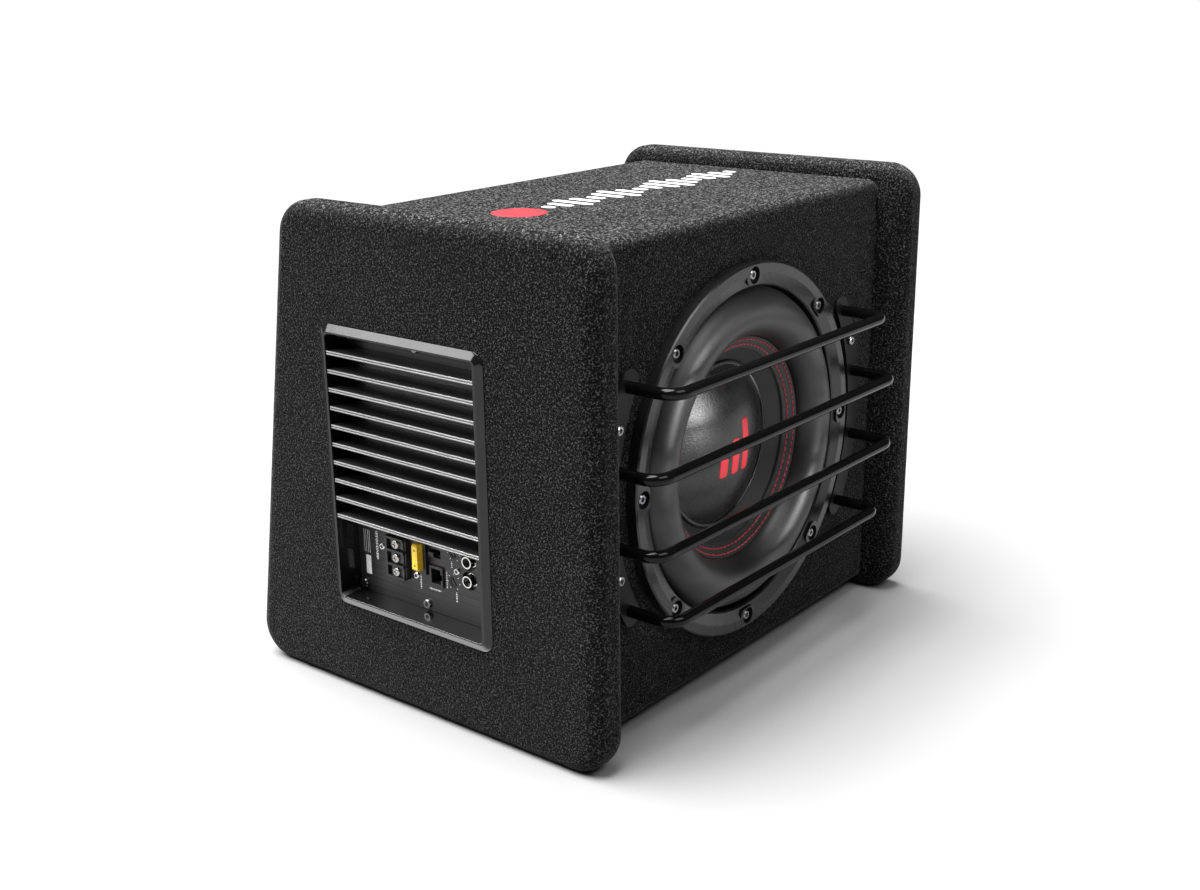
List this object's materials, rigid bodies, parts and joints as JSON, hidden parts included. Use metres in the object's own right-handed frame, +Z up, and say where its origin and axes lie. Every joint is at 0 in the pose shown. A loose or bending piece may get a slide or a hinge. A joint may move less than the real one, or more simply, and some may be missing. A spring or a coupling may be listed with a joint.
{
  "type": "powered car subwoofer",
  "caption": "Carpeted wedge-shaped subwoofer box with two raised end panels, a bar-guarded round driver on the front and an amplifier with cooling fins set into one end.",
  "frame": {"origin": "on the floor, at the centre of the outer bounding box", "axes": "+X along the box away from the amplifier end, -Y out of the driver baffle, +Z up"},
  "size_m": [0.409, 0.3394, 0.344],
  "materials": {
    "carpet": "needle-felt carpet, matt",
    "fibreboard": "raw board",
    "powder_coat": "satin powder coat",
    "stamped_steel": "black paint",
    "black_rubber": "moulded, matt",
    "foam_rubber": "textured foam, matt",
    "cone_paper": "coated, matt",
    "cap_plastic": "grained, semi-matt",
    "aramid_cloth": "woven, matt",
    "coil_copper": "enamelled wire",
    "former_aluminium": "satin",
    "zinc_steel": "zinc plated",
    "ferrite": "sintered, matt",
    "gloss_black": "gloss",
    "black_anodised": "anodised",
    "brushed_black": "brushed, anodised",
    "black_nylon": "matt",
    "nickel": "nickel plated",
    "black_screw": "black oxide",
    "amber_plastic": "translucent amber yellow",
    "white_paper": "sticker",
    "board_green": "glass-filled laminate",
    "dark_nylon": "matt",
    "red_wire": "insulated wire"
  },
  "bodies": {
    "enclosure": {"amp_bezel": "gloss_black", "back_panel": "fibreboard", "board_posts": "former_aluminium", "board_screws": "nickel", "body_carpet": "carpet", "bottom_panel": "fibreboard", "circuit_board": "board_green", "control_plate": "brushed_black", "corner_battens": "fibreboard", "driver_basket": "stamped_steel", "driver_gasket": "foam_rubber", "driver_screws": "black_screw", "far_end_carpet": "carpet", "far_end_panel": "fibreboard", "filter_capacitors": "gloss_black", "front_baffle": "fibreboard", "fuse_holder": "black_nylon", "guard_bar_1": "powder_coat", "guard_bar_2": "powder_coat", "guard_bar_3": "powder_coat", "guard_bar_4": "powder_coat", "guard_screws": "black_screw", "guard_strap_far": "powder_coat", "guard_strap_near": "powder_coat", "heat_sink": "black_anodised", "level_pot": "black_nylon", "lowpass_pot": "black_nylon", "magnet": "ferrite", "magnet_boot": "black_rubber", "magnet_yoke": "zinc_steel", "near_end_carpet": "carpet", "near_end_panel": "fibreboard", "phase_switch_case": "black_nylon", "plate_label": "white_paper", "plate_screws": "black_screw", "power_transistors": "black_nylon", "rca_housing": "black_nylon", "rca_sleeves": "nickel", "remote_jack": "black_nylon", "speaker_wires": "red_wire", "spider": "aramid_cloth", "surround": "foam_rubber", "terminal_block": "black_nylon", "terminal_screws": "nickel", "terminal_strip": "black_nylon", "tinsel_leads": "coil_copper", "top_panel": "fibreboard", "top_plate": "zinc_steel", "toroid_coil": "coil_copper", "trim_ring": "black_rubber"},
    "cone_assembly": {"cone": "cone_paper", "cone_band": "foam_rubber", "dust_cap": "cap_plastic", "coil_former": "former_aluminium", "voice_coil": "coil_copper"},
    "level_rotor": {"level_rotor": "black_nylon"},
    "lowpass_rotor": {"lowpass_rotor": "black_nylon"},
    "phase_knob": {"phase_switch_knob": "dark_nylon"},
    "fuse": {"fuse_body": "amber_plastic", "fuse_blades": "nickel"}
  },
  "joints": [
    {"name": "cone_travel", "type": "slide", "parent": "enclosure", "child": "cone_assembly", "axis": [0, -1, 0], "range_m": [-0.008, 0.008], "stiffness_N_per_m": 4000, "deforming": ["surround", "spider", "tinsel_leads"]},
    {"name": "level_turn", "type": "hinge", "parent": "enclosure", "child": "level_rotor", "pos_m": [-0.1835, -0.01902, 0.0989], "axis": [-1, 0, 0], "range_deg": [-170, 100]},
    {"name": "lowpass_turn", "type": "hinge", "parent": "enclosure", "child": "lowpass_rotor", "pos_m": [-0.1835, -0.01972, 0.1196], "axis": [-1, 0, 0], "range_deg": [-115, 155]},
    {"name": "phase_slide", "type": "slide", "parent": "enclosure", "child": "phase_knob", "axis": [0, -1, 0], "range_m": [0, 0.0032]},
    {"name": "fuse_pull", "type": "slide", "parent": "enclosure", "child": "fuse", "axis": [-1, 0, 0], "range_m": [0, 0.02]}
  ]
}
